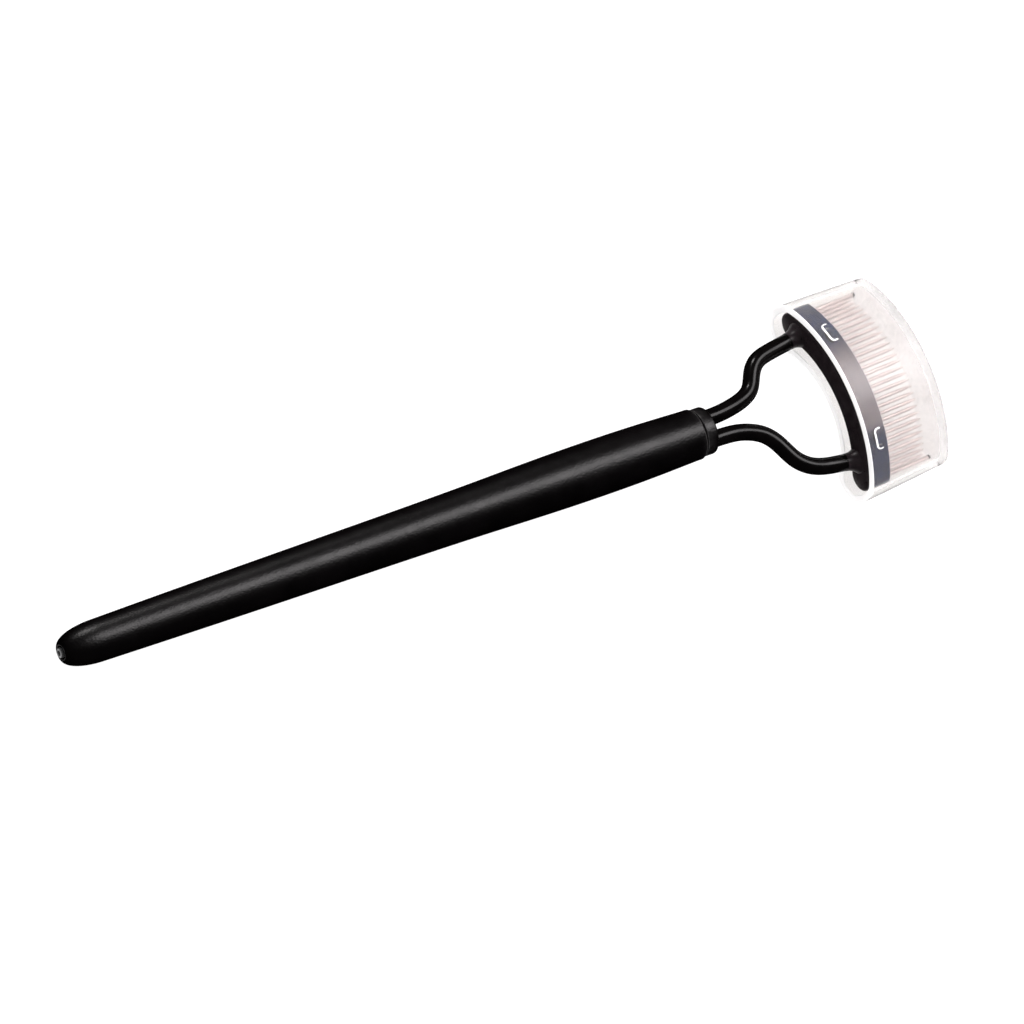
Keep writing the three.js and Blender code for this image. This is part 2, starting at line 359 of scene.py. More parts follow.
@dataclass(frozen=True)
class Lie:
    """How the tool lies on the table, and where the head sits on it.

    Attributes:
        tilt: Nose-up tilt in degrees, which rests the tail and the cover's ends on the table.
        place: The tool frame's origin in the row frame.
        head_place: The head frame's origin in the tool frame.
        head_yaw: The head's turn about Z in degrees.
    """

    tilt: float = 1.55
    place: tuple[float, float, float] = (-68.99, 1.455, 2.773)
    head_place: tuple[float, float, float] = (124.6, -1.45, 0.0)
    head_yaw: float = 3.0

    @property
    def tool(self) -> Placement:
        """From the tool frame to the row frame."""
        return Placement(Matrix.Rotation(math.radians(-self.tilt), 4, "Y"), self.place)

    @property
    def head_on_tool(self) -> Placement:
        """From the head frame to the tool frame."""
        return Placement(Matrix.Rotation(math.radians(self.head_yaw), 4, "Z"), self.head_place)

    @property
    def head(self) -> Placement:
        """From the head frame to the row frame."""
        return self.head_on_tool.then(self.tool)


# ---- finishes ------------------------------------------------------------------------------------


class NodeBench:
    """A new material's node tree, with short ways to add and join nodes."""

    def __init__(self, name: str) -> None:
        """Makes the material and keeps its shader and its object coordinates."""
        self.material = bpy.data.materials.new(name)
        self.material.use_nodes = True
        self.tree = self.material.node_tree
        self.shader = self.tree.nodes["Principled BSDF"]
        self.place = self.add("ShaderNodeTexCoord").outputs["Object"]

    def add(self, kind: str, **values: object) -> bpy.types.Node:
        """Adds a node.

        Args:
            kind: The node's type.
            **values: Input sockets by name with underscores for spaces, or node properties.

        Returns:
            The node.
        """
        node = self.tree.nodes.new(kind)
        for key, value in values.items():
            socket = node.inputs.get(key.replace("_", " "))
            if socket is None:
                setattr(node, key, value)
            else:
                socket.default_value = value
        return node

    def join(self, source: bpy.types.NodeSocket, target: bpy.types.NodeSocket) -> None:
        """Links an output to an input."""
        self.tree.links.new(source, target)

    def noise(self, size: float, detail: float = 3.0, stretch: float = 1.0) -> bpy.types.NodeSocket:
        """Noise in Object coordinates.

        Args:
            size: Width of its patches in millimetres.
            detail: Octaves of finer noise on top.
            stretch: How many times longer than wide the patches are along X.

        Returns:
            The noise's value.
        """
        turn = self.add("ShaderNodeMapping")
        turn.inputs["Scale"].default_value = (1 / stretch, 1, 1)
        node = self.add("ShaderNodeTexNoise", Scale=1 / (size * MM), Detail=detail)
        self.join(self.place, turn.inputs["Vector"])
        self.join(turn.outputs["Vector"], node.inputs["Vector"])
        return node.outputs["Fac"]

    def between(
        self, source: bpy.types.NodeSocket, low: float, high: float
    ) -> bpy.types.NodeSocket:
        """Noise spread from a low to a high number, its usual middle part filling the range."""
        node = self.add("ShaderNodeMapRange", From_Min=0.3, From_Max=0.7, To_Min=low, To_Max=high)
        self.join(source, node.inputs["Value"])
        return node.outputs["Result"]

    def blend(
        self, share: bpy.types.NodeSocket, first: Colour | bpy.types.NodeSocket, second: Colour
    ) -> bpy.types.NodeSocket:
        """A colour between two, by a share from 0 to 1."""
        node = self.add("ShaderNodeMix", data_type="RGBA")
        if isinstance(first, tuple):
            node.inputs[6].default_value = (*first, 1)
        else:
            self.join(first, node.inputs[6])
        node.inputs[7].default_value = (*second, 1)
        self.join(share, node.inputs[0])
        return node.outputs[2]


@dataclass(frozen=True)
class Finish:
    """A surface finish: colour that wanders between two tones, uneven gloss, grain and wear.

    Attributes:
        name: The material's name.
        deep: The darker tone.
        pale: The lighter tone.
        wear_and_painted_light_tone: The tone of worn edges and needle tips, and of painted light:
        painted highlights on the handle's rims, the collar's rear edge, the plug's face, the
        cover's snap lips and the middle of the bar's band, and painted shade on the cover's
        end wall.
        patch: Size of the tone's patches in millimetres.
        stretch: How many times longer than wide grain and patches are along X.
        roughness: Lowest and highest roughness.
        grain: Size of the surface grain in millimetres.
        grain_depth: Its height in millimetres.
        least_patch_share: Least share of the wear and painted light that its patchy noise leaves.
        sockets: Numbers set on the shader, by socket name.
    """

    name: str
    deep: Colour
    pale: Colour
    wear_and_painted_light_tone: Colour
    patch: float = 4.0
    stretch: float = 1.0
    roughness: tuple[float, float] = (0.3, 0.4)
    grain: float = 0.12
    grain_depth: float = 0.004
    least_patch_share: float = 0.35
    sockets: dict[str, float] = field(default_factory=dict)

    def material(self) -> bpy.types.Material:
        """Builds the finish as a material.

        Returns:
            A Principled material with noise in its colour, roughness and bump.
        """
        bench = NodeBench(self.name)
        tone = bench.between(bench.noise(self.patch, 4, self.stretch), 0, 1)
        colour = bench.blend(tone, self.deep, self.pale)
        # This attribute mixes in the finish's worn tone: real wear on some pieces, and painted
        # highlights and painted shade on others.
        wear_and_painted_light = bench.add("ShaderNodeAttribute", attribute_name="wear_and_painted_light").outputs["Fac"]
        share = bench.add("ShaderNodeMath", operation="MULTIPLY")
        bench.join(wear_and_painted_light, share.inputs[0])
        bench.join(bench.between(bench.noise(0.5, 2), self.least_patch_share, 1), share.inputs[1])
        colour = bench.blend(share.outputs["Value"], colour, self.wear_and_painted_light_tone)
        bench.join(colour, bench.shader.inputs["Base Color"])
        gloss = bench.between(bench.noise(self.patch / 3, 5, self.stretch), *self.roughness)
        bench.join(gloss, bench.shader.inputs["Roughness"])
        bump = bench.add("ShaderNodeBump", Strength=1.0, Distance=self.grain_depth * MM)
        bench.join(bench.noise(self.grain, 3, self.stretch), bump.inputs["Height"])
        bench.join(bump.outputs["Normal"], bench.shader.inputs["Normal"])
        for socket, value in self.sockets.items():
            bench.shader.inputs[socket].default_value = value
        return bench.material


# The satin finish's worn tone is painted highlight on the handle's front rim, its tail lip and the
# collar's rear edge.
SATIN = Finish(
    "satin_lacquer", deep=(0.0007, 0.0004, 0.0005), pale=(0.0015, 0.0010, 0.0012),
    wear_and_painted_light_tone=(0.20, 0.19, 0.19), patch=5.0, roughness=(0.31, 0.38), grain=0.3,
    grain_depth=0.035, sockets={"Specular IOR Level": 0.18},
)
WIRE = Finish(
    "wire_lacquer", deep=(0.0010, 0.0008, 0.0008), pale=(0.0022, 0.0018, 0.0018),
    wear_and_painted_light_tone=(0.12, 0.12, 0.12), patch=3.0, roughness=(0.16, 0.24), grain=0.5, grain_depth=0.004,
    sockets={"Specular IOR Level": 0.10},
)
BAR = Finish(
    "bar_moulding", deep=(0.0075, 0.0050, 0.0060), pale=(0.0150, 0.0110, 0.0125),
    wear_and_painted_light_tone=(0.028, 0.023, 0.025), patch=1.2, roughness=(0.26, 0.36), grain=0.35, grain_depth=0.006,
    sockets={"Specular IOR Level": 0.12},
)
# Painted haze and highlight: the band's blue tones stand in for light scattered in the frosted
# cover over the black bar, and its worn tone is a painted highlight across the middle of the arc.
BAND = Finish(
    "bar_band_black_painted_haze_highlight", deep=(0.001, 0.004, 0.026), pale=(0.006, 0.016, 0.070),
    wear_and_painted_light_tone=(0.20, 0.172, 0.180), patch=0.9, roughness=(0.36, 0.48), grain=0.3, grain_depth=0.01,
    least_patch_share=0.75, sockets={"Specular IOR Level": 0.42},
)
# The plug's worn tone is a painted highlight: the bright ring on its face.
PLUG = Finish(
    "plug_moulding", deep=(0.01, 0.01, 0.01), pale=(0.03, 0.03, 0.03), wear_and_painted_light_tone=(0.42, 0.42, 0.42),
    patch=0.6, roughness=(0.15, 0.3), grain=0.1, grain_depth=0.003,
    sockets={"Specular IOR Level": 0.5},
)
BED = Finish(
    "needle_bed_resin", deep=(0.012, 0.012, 0.014), pale=(0.03, 0.03, 0.034),
    wear_and_painted_light_tone=(0.08, 0.08, 0.08), patch=0.8, roughness=(0.3, 0.5), grain=0.2, grain_depth=0.01,
)
STEEL = Finish(
    "needle_steel", deep=(0.50, 0.43, 0.42), pale=(0.60, 0.53, 0.52), wear_and_painted_light_tone=(0.7, 0.66, 0.65),
    patch=0.5, stretch=12.0, roughness=(0.3, 0.42), grain=0.05, grain_depth=0.0015,
    sockets={"Metallic": 0.35},
)
# The cover's worn tone is painted shade on its end wall, and darkens the edges of the snap lips.
FROSTED = Finish(
    "frosted_plastic", deep=(0.84, 0.815, 0.803), pale=(0.875, 0.86, 0.848),
    wear_and_painted_light_tone=(0.42, 0.39, 0.42), patch=3.0, roughness=(0.17, 0.22), grain=0.09, grain_depth=0.0012,
    sockets={"Transmission Weight": 0.967, "IOR": 1.14, "Specular IOR Level": 0.2},
)
# The white edge finish is the mouth's rim, and on the snap lips a painted highlight.
FROSTED_RIM_AND_LIP_HIGHLIGHT = Finish(
    "frosted_rim_and_painted_lip_highlight", deep=(0.94, 0.925, 0.915), pale=(0.97, 0.96, 0.95), wear_and_painted_light_tone=(0.98, 0.97, 0.965),
    patch=1.0, roughness=(0.42, 0.55), grain=0.12, grain_depth=0.004,
    sockets={"Transmission Weight": 0.05, "IOR": 1.14, "Specular IOR Level": 0.2},
)


# ---- pieces --------------------------------------------------------------------------------------


def enclosed_volume(points: Array, faces: list[list[int]]) -> float:
    """Volume inside a skin: the sum over a fan of triangles on each face of their triple product
    over six. It is negative where the faces point inwards."""
    fans = [(face[0], face[k], face[k + 1]) for face in faces for k in range(1, len(face) - 1)]
    a, b, c = (points[np.array(corner)] for corner in zip(*fans))
    return float(np.einsum("ij,ij->i", a, np.cross(b, c)).sum() / 6)


def piece(
    name: str,
    skin: Surface,
    body: Body,
    materials: Sequence[bpy.types.Material],
    stands_for: Sequence[str] = (),
    crease: float = 38.0,
) -> bpy.types.Object:
    """Puts a skin into the scene as a finished piece.

    Args:
        name: The piece's name.
        skin: Its skin in the row frame, in millimetres.
        body: The body that it moves with.
        materials: Its material, and one for its rim faces where it has them.
        stands_for: Frame nodes that it takes the place of.
        crease: Angle in degrees above which an edge stays sharp.

    Returns:
        The object.
    """
    faces = skin.faces
    if enclosed_volume(skin.points, faces) < 0:
        faces = [face[::-1] for face in faces]
    mesh = bpy.data.meshes.new(name)
    mesh.from_pydata((skin.points * MM).tolist(), [], faces)
    mesh.attributes.new("wear_and_painted_light", "FLOAT", "POINT").data.foreach_set("value", skin.wear_and_painted_light)
    mesh.polygons.foreach_set("use_smooth", np.ones(len(faces), bool))
    for material in materials:
        mesh.materials.append(material)
    if len(materials) > 1:
        mesh.polygons.foreach_set("material_index", skin.rim.astype(np.int32))
    mesh.update()
    mesh.set_sharp_from_angle(angle=math.radians(crease))
    made = bpy.data.objects.new(name, mesh)
    bpy.context.scene.collection.objects.link(made)
    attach(made, body.value)
    if stands_for:
        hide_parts(*stands_for)
    log.info("%s: %d points, %d faces, on %s", name, len(skin.points), len(faces), body.value)
    return made


@dataclass(frozen=True)
class Handle:
    """The turned handle, its tail plug and the collar in its front end.

    Attributes:
        tail: Where the dome's tip is along X.
        length: Where the front rim is along X.
        stations: (x, radius) along the swelling body, after the dome.
        dome_end: Where the elliptical dome ends along X.
        dome_start: Radius of the flat round the tail hole.
        hole: Radius of the tail hole.
        wall_end: Where the tail's end wall stops and the tube's bore starts.
        front_bore: Radius of the wider bore that takes the collar's spigot.
        seat_depth: Depth of the oblong seat that both wires stand in.
        plug_proud: How far the plug's button stands out of the dome.
        plug_flange: Where the plug's flange starts and ends, behind the end wall.
        plug_lip: How far the flange stands out round the plug's stem.
        around: Points round each ring.
    """

    tail: float = 1.25
    length: float = 102.95
    stations: tuple[tuple[float, float], ...] = (
        (7.2, 2.955), (18, 3.1), (52, 3.41), (68, 3.61), (78, 3.82), (87, 3.89), (95, 3.79),
        (102.95, 3.52),
    )
    dome_end: float = 7.2
    dome_start: float = 1.12
    hole: float = 0.98
    wall_end: float = 2.5
    bore: float = 2.0
    front_bore_start: float = 88.5
    front_bore: float = 3.0
    rim_rounding: float = 0.16
    collar_rear: float = 103.3
    collar_front: float = 104.98
    collar_radius: float = 3.32
    spigot_start: float = 90.0
    spigot_radius: float = 2.75
    seat_depth: float = 1.2
    seat_radius: float = 1.29
    wire_spacing: float = 1.5
    plug_radius: float = 0.76
    plug_proud: float = 0.35
    plug_flange: tuple[float, float] = (2.8, 3.9)
    plug_lip: float = 0.7
    around: int = 144

    def barrel(self) -> Surface:
        """The tube, as one closed loop of profile turned about X.

        Returns:
            Its skin. The dome is a quarter of an ellipse, the body a smooth curve through the
            stations, and the rims, steps and bores come after them.
        """
        turn = np.linspace(0.02, 1, 22) * np.pi / 2
        end = self.stations[0][1]
        dome = np.stack([
            self.tail + (self.dome_end - self.tail) * (1 - np.cos(turn)),
            self.dome_start + (end - self.dome_start) * np.sin(turn),
        ], -1)
        body = smooth_line(np.array(self.stations, float), 110)[1:]
        body = body[body[:, 0] < self.length - self.rim_rounding]
        tip = body[-1, 1]
        rim = rounded([
            (self.length - 0.3, tip, 0), (self.length, tip, self.rim_rounding),
            (self.length, self.front_bore, 0.1), (self.length - 1, self.front_bore, 0),
        ])[1:]
        inside = np.array([
            (self.front_bore_start, self.front_bore), (self.front_bore_start, self.bore),
            (self.wall_end, self.bore), (self.wall_end, self.hole),
            (self.tail + 0.12, self.hole), (self.tail + 0.03, self.hole + 0.03),
            (self.tail, self.hole + 0.09),
        ])
        profile = np.concatenate([dome, body, rim, inside])
        skin = turned(profile, self.around, closed=True)
        x, radius = skin.points[:, 0], np.linalg.norm(skin.points[:, 1:], axis=1)
        # Painted highlights: a lighter ring on the tail hole's lip and a bright line round the
        # front rim, in the satin finish's worn tone.
        lip = (x < self.tail + 0.04) & (radius < self.dome_start + 0.02)
        front = np.exp(-(((x - self.length + 0.04) / 0.07) ** 2)) * (radius > tip - 0.12)
        skin.wear_and_painted_light[:] = np.where(lip, 0.25, 0.35 * front)
        return skin

    def plug(self) -> Surface:
        """The tail plug: a button with a dished face, on a stem with a flange inside the tube."""
        r, face, flange = self.plug_radius, -self.plug_proud, self.plug_radius + self.plug_lip
        start, end = self.plug_flange
        profile = rounded([
            (face + 0.16, 0.001, 0), (face + 0.14, r * 0.42, 0.08), (face, r * 0.55, 0.05),
            (face + 0.02, r * 0.86, 0.08), (face + 0.3, r, 0.12), (start, r, 0),
            (start, flange, 0), (end, flange, 0),
        ])
        skin = turned(profile, 72)
        x, radius = skin.points[:, 0], np.linalg.norm(skin.points[:, 1:], axis=1)
        # Painted highlight: a bright ring across the button's dished face.
        skin.wear_and_painted_light[:] = np.exp(-(((radius - r * 0.68) / 0.12) ** 2)) * (x < 0)
        return skin.placed(Placement(Matrix(), (self.tail, 0, 0)))

    def collar(self) -> Surface:
        """The collar: a ring on a spigot, with an oblong seat for both wires in its front face.

        Returns:
            Its skin. Its rings are circles up to the front face and stadium outlines down the
            seat. A stadium's distance from the centre at an angle is where a ray at that angle
            meets its straight side, or else its round end.
        """
        turn = np.linspace(0, 2 * np.pi, self.around, endpoint=False)
        round_part = rounded([
            (self.spigot_start, 0.4, 0), (self.spigot_start, self.spigot_radius, 0.2),
            (self.collar_rear, self.spigot_radius, 0.04),
            (self.collar_rear, self.collar_radius, 0.09),
            (self.collar_front, self.collar_radius, 0.28),
            (self.collar_front, self.collar_radius - 0.32, 0),
        ])
        seat_x = np.array([0.0, -0.03, -0.1, -self.seat_depth]) + self.collar_front
        seat_grow = np.array([0.1, 0.03, 0.0, 0.0])
        half, r = self.wire_spacing, self.seat_radius + seat_grow[:, None]
        sine, cosine = np.abs(np.sin(turn)), np.abs(np.cos(turn))
        straight = r / np.maximum(sine, 1e-6)
        curved = half * cosine + np.sqrt(np.maximum(r**2 - (half * sine) ** 2, 0))
        reach = np.where(straight * cosine <= half, straight, curved)
        distance = np.concatenate([np.repeat(round_part[:, 1:], self.around, 1), reach])
        x = np.concatenate([round_part[:, 0], seat_x])[:, None].repeat(self.around, 1)
        rings = np.stack([x, distance * np.cos(turn), distance * np.sin(turn)], -1)
        skin = lofted(rings)
        x, radius = skin.points[:, 0], np.linalg.norm(skin.points[:, 1:], axis=1)
        # Painted highlight: a bright line along the collar's rear outer edge.
        rear = np.exp(-(((x - self.collar_rear - 0.02) / 0.05) ** 2))
        skin.wear_and_painted_light[:] = 0.35 * rear * (radius > self.collar_radius - 0.1)
        return skin

    def build(self, lie: Lie) -> None:
        """Makes and dresses the handle's pieces."""
        satin = SATIN.material()
        piece("handle_shell", self.barrel().placed(lie.tool), Body.COMB, [satin],
              ["handle_barrel"])
        piece("tail_button", self.plug().placed(lie.tool), Body.COMB,
              [PLUG.material()], ["tail_plug"])
        piece("wire_collar", self.collar().placed(lie.tool), Body.COMB, [satin],
              ["collar"])


@dataclass(frozen=True)
class Arm:
    """One bent wire of the fork.

    Attributes:
        name: The piece's name.
        node: The frame node that it stands for.
        side: 1 on +Y and -1 on -Y.
        bends: Points of its middle line in the tool frame.
        entry: Where that line meets the bar's rear face, in the head frame.
        angle: Its direction there, in degrees from +X towards +Y.
    """

    name: str
    node: str
    side: int
    bends: tuple[tuple[float, float, float], ...]
    entry: tuple[float, float, float]
    angle: float

    @property
    def way(self) -> Array:
        """Its direction at the bar, in the head frame."""
        angle = math.radians(self.angle)
        return np.array([math.cos(angle), math.sin(angle), 0.0])


ARMS = (
    Arm("fork_wire_left", "fork_arm_left", 1, (
        (107.2, 1.54, 0), (109.7, 1.83, -0.14), (112.1, 2.42, -0.36), (113.7, 3.3, -0.52),
        (114.6, 4.5, -0.61), (115.4, 5.75, -0.68), (116.6, 6.76, -0.79), (118.4, 7.32, -0.96),
        (120.4, 7.65, -1.14),
    ), (0, 9.7, -1.2), 6.5),
    Arm("fork_wire_right", "fork_arm_right", -1, (
        (107.0, -1.53, 0), (109.1, -1.68, -0.08), (111.3, -2.22, -0.25), (113.2, -3.2, -0.4),
        (114.5, -4.6, -0.5), (115.35, -6.1, -0.56), (116.4, -7.75, -0.65), (118.2, -9.15, -0.78),
        (120.6, -9.87, -0.97),
    ), (0, -9.0, -1.0), -10.0),
)


@dataclass(frozen=True)
class Fork:
    """The two wires between the collar and the comb bar.

    Attributes:
        radius: Radius of the wire.
        start: Where both wires start, in the collar's seat.
        straight: How far they run straight from there.
        spacing: Half the distance between them there.
        standoff: How far before the bar each one is straight again.
        sunk: How deep it goes into the bar.
        along: Points along each wire.
        around: Points round it.
    """

    radius: float = 1.175
    start: float = 104.15
    straight: float = 1.3
    spacing: float = 1.5
    standoff: float = 1.9
    sunk: float = 0.5
    along: int = 220
    around: int = 40

    def wire(self, arm: Arm, lie: Lie) -> Surface:
        """One wire.

        Args:
            arm: Its bends.
            lie: Where the head sits.

        Returns:
            Its skin in the tool frame: a round section along a smooth line through the bends,
            straight where it enters the bar.
        """
        ends = np.array(arm.entry) + np.array([[-self.standoff], [self.sunk]]) * arm.way
        ends = lie.head_on_tool.carry(ends)
        middle = arm.side * self.spacing
        first = [(self.start, middle, 0.0), (self.start + self.straight, middle, 0.0)]
        path = smooth_line(np.array([*first, *arm.bends, *ends.tolist()]), self.along)
        return swept(path, np.full(self.along, self.radius), self.around)

    def build(self, lie: Lie) -> None:
        """Makes and dresses both wires."""
        gloss = WIRE.material()
        for arm in ARMS:
            piece(arm.name, self.wire(arm, lie).placed(lie.tool), Body.COMB, [gloss],
                  [arm.node])


@dataclass(frozen=True)
class Comb:
    """The bar with its wire sockets, snap nubs and guard posts, and its row of needles.

    Attributes:
        drop: How far the arc's centre lies below the head frame's origin.
        mid_radius: Radius of the arc along the bar's middle, where the needles stand.
        half_thickness: Half the bar's thickness across the arc.
        depth: The bar's depth along the needles.
        end_angle: Angle at which the bar's middle line ends on each side, in degrees.
        pitch: Angle from needle to needle, in degrees.
        needle_root: Where the needles start, inside the bar.
        snap_angle: Angle of both snap nubs on either side of the middle.
        snap_x: How far in front of the rear face the nubs are.
        band_start: Where the bar's outer band starts in front of its rear face.
        painted_highlight_angles: Angles between which the band is painted paler, as a painted
        highlight.
    """

    drop: float = 11.96
    mid_radius: float = 14.95
    half_thickness: float = 1.95
    depth: float = 3.6
    end_angle: float = 49.4
    slot_half_width: float = 0.5
    slot_floor: float = 1.4
    needle_count: int = 29
    pitch: float = 3.6
    needle_radius: float = 0.26
    needle_root: float = 1.7
    taper_start: float = 8.6
    needle_tip: float = 10.5
    tip_radius: float = 0.13
    post_radius: float = 0.3
    post_tip: float = 11.7
    snap_angle: float = 26.0
    snap_x: float = 1.85
    band_start: float = 0.3
    painted_highlight_angles: tuple[float, float] = (-27.0, 27.0)

    @property
    def last_angle(self) -> float:
        """Angle of the last needle, in degrees."""
        return self.pitch * (self.needle_count - 1) / 2

    def on_arc(self, radius: float, angle: float) -> Array:
        """(0, y, z) at a radius from the arc's centre and an angle in degrees from +Z."""
        turn = math.radians(angle)
        return np.array([0.0, radius * math.sin(turn), radius * math.cos(turn) - self.drop])

    def bar(self) -> Surface:
        """The bar itself, with rounded edges and the needle slot down its front face."""
        half = self.half_thickness
        body = rounded([
            (0.0, 0.6, 0), (0.0, half, 0.34), (self.depth, half, 0.26),
            (self.depth, self.slot_half_width, 0.07), (self.slot_floor, self.slot_half_width, 0),
        ])
        skin = ArcBand(self.mid_radius, self.end_angle).body(body, self.drop)
        corner = np.abs(skin.points[:, 0] - 0.08) < 0.1
        radial = np.hypot(skin.points[:, 1], skin.points[:, 2] + self.drop)
        outer = np.abs(np.abs(radial - self.mid_radius) - half) < 0.2
        angle = np.degrees(np.arctan2(skin.points[:, 1], skin.points[:, 2] + self.drop))
        # Painted highlight: the band is painted paler across the middle of the arc; the outer
        # corners of the rear face take a little of the worn tone.
        low, high = self.painted_highlight_angles
        painted_highlight_share = np.clip((angle - low) / 9, 0, 1) * np.clip((high - angle) / 15, 0, 1)
        band_radius = self.mid_radius + half - 0.3
        on_band = (skin.points[:, 0] > self.band_start) & (radial > band_radius)
        skin.wear_and_painted_light[:] = np.where(on_band, painted_highlight_share * painted_highlight_share * (3 - 2 * painted_highlight_share), 0.3 * (corner & outer))
        middle = np.array([skin.points[face].mean(0) for face in skin.faces])
        reach = np.hypot(middle[:, 1], middle[:, 2] + self.drop)
        skin.rim[:] = (middle[:, 0] > self.band_start) & (reach > band_radius)
        return skin

    def socket(self, arm: Arm) -> Surface:
        """The boss that a wire enters: it flares with a hollow curve into the bar's rear face."""
        share = np.linspace(0, 1, 14)
        flare = np.stack([-1.75 + 1.85 * share, 1.21 + 0.66 * share**2.2], -1)
        profile = np.concatenate([[(-1.75, 1.0)], flare, [(0.7, 1.87), (0.7, 0.5)]])
        turn = Placement(Matrix.Rotation(math.radians(arm.angle), 4, "Z"), arm.entry)
        return turned(profile, 56).placed(turn)

    def nub(self, angle: float) -> Surface:
        """A snap nub: an egg whose half sizes are 0.5 mm, 1.2 mm along the arc and 0.32 mm out."""
        lat = np.linspace(-np.pi / 2, np.pi / 2, 17)[:, None] * 0.999
        lon = np.linspace(0, 2 * np.pi, 32, endpoint=False)[None]
        ring = np.stack([
            0.5 * np.sin(lat) * np.ones_like(lon), 1.2 * np.cos(lat) * np.cos(lon),
            0.32 * np.cos(lat) * np.sin(lon),
        ], -1)
        spot = self.on_arc(self.mid_radius + self.half_thickness - 0.15, angle)
        spot[0] = self.snap_x
        turn = Placement(Matrix.Rotation(math.radians(-angle), 4, "X"), tuple(spot))
        return lofted(ring).placed(turn)

    def post(self, side: int) -> Surface:
        """A steel guard post beyond the last needle, with a black cap on its rounded tip."""
        r, tip = self.post_radius, self.post_tip
        profile = rounded([
            (self.depth - 1, r, 0), (self.depth - 0.02, r, 0), (tip - 0.4, r, 0),
            (tip - 0.38, r + 0.03, 0), (tip, r + 0.03, 0.24), (tip, 0.02, 0),
        ])
        skin = turned(profile, 24)
        skin.rim[:] = [min(skin.points[face, 0]) > tip - 0.41 for face in skin.faces]
        foot = self.on_arc(self.mid_radius, side * (self.last_angle + self.pitch))
        return skin.placed(Placement(Matrix(), tuple(foot)))

    def bed(self) -> Surface:
        """The resin that holds the needles in the slot, dished between the slot's walls."""
        half = self.slot_half_width - 0.02
        profile = np.array([
            (self.slot_floor + 0.05, 0.05), (self.slot_floor + 0.05, half), (3.42, half),
            (3.36, half - 0.12), (3.32, 0.08),
        ])
        return ArcBand(self.mid_radius, self.end_angle + 0.2).body(profile, self.drop)

    def needle(self, index: int) -> Surface:
        """One needle: straight, then tapering by a gentle curve to a rounded tip.

        Args:
            index: Its place in the row, from 0 on -Y.

        Returns:
            Its skin in the head frame.
        """
        share = np.linspace(0, 1, 9)[:, None]
        straight = self.needle_tip - self.tip_radius
        taper_x = self.taper_start + (straight - self.taper_start) * share
        taper_r = self.needle_radius + (self.tip_radius - self.needle_radius) * share**1.8
        turn = np.linspace(0, 1, 5)[1:, None] * np.pi / 2
        ball_x = straight + self.tip_radius * np.sin(turn)
        ball_r = self.tip_radius * np.cos(turn) + 0.002
        root, bevel = self.needle_root, 0.04
        profile = np.concatenate([
            [(root, self.needle_radius - bevel), (root + bevel, self.needle_radius)],
            np.hstack([taper_x, taper_r]),
            np.hstack([ball_x, ball_r]),
        ])
        foot = self.on_arc(self.mid_radius, (index - (self.needle_count - 1) / 2) * self.pitch)
        skin = turned(profile, 16).placed(Placement(Matrix(), tuple(foot)))
        skin.wear_and_painted_light[:] = np.clip((skin.points[:, 0] - 9.5) / 1.0, 0, 1)
        return skin

    def build(self, lie: Lie) -> None:
        """Makes and dresses the bar, its fittings, the needle bed and every needle."""
        black = BAR.material()
        piece("bar_moulding", self.bar().placed(lie.head), Body.COMB,
              [black, BAND.material()], ["comb_bar"])
        bosses = joined([self.socket(arm) for arm in ARMS])
        piece("bar_sockets", bosses.placed(lie.head), Body.COMB, [black])
        nubs = joined([self.nub(side * self.snap_angle) for side in (1, -1)])
        piece("bar_snap_nubs", nubs.placed(lie.head), Body.COMB, [black])
        piece("needle_bed", self.bed().placed(lie.head), Body.COMB, [BED.material()])
        steel = STEEL.material()
        posts = joined([self.post(side) for side in (1, -1)])
        piece("bar_guard_posts", posts.placed(lie.head), Body.COMB, [steel, black])
        for index in range(self.needle_count):
            number = f"{index + 1:02d}"
            piece(f"needle_{number}", self.needle(index).placed(lie.head), Body.COMB,
                  [steel], [f"tooth_{number}"])


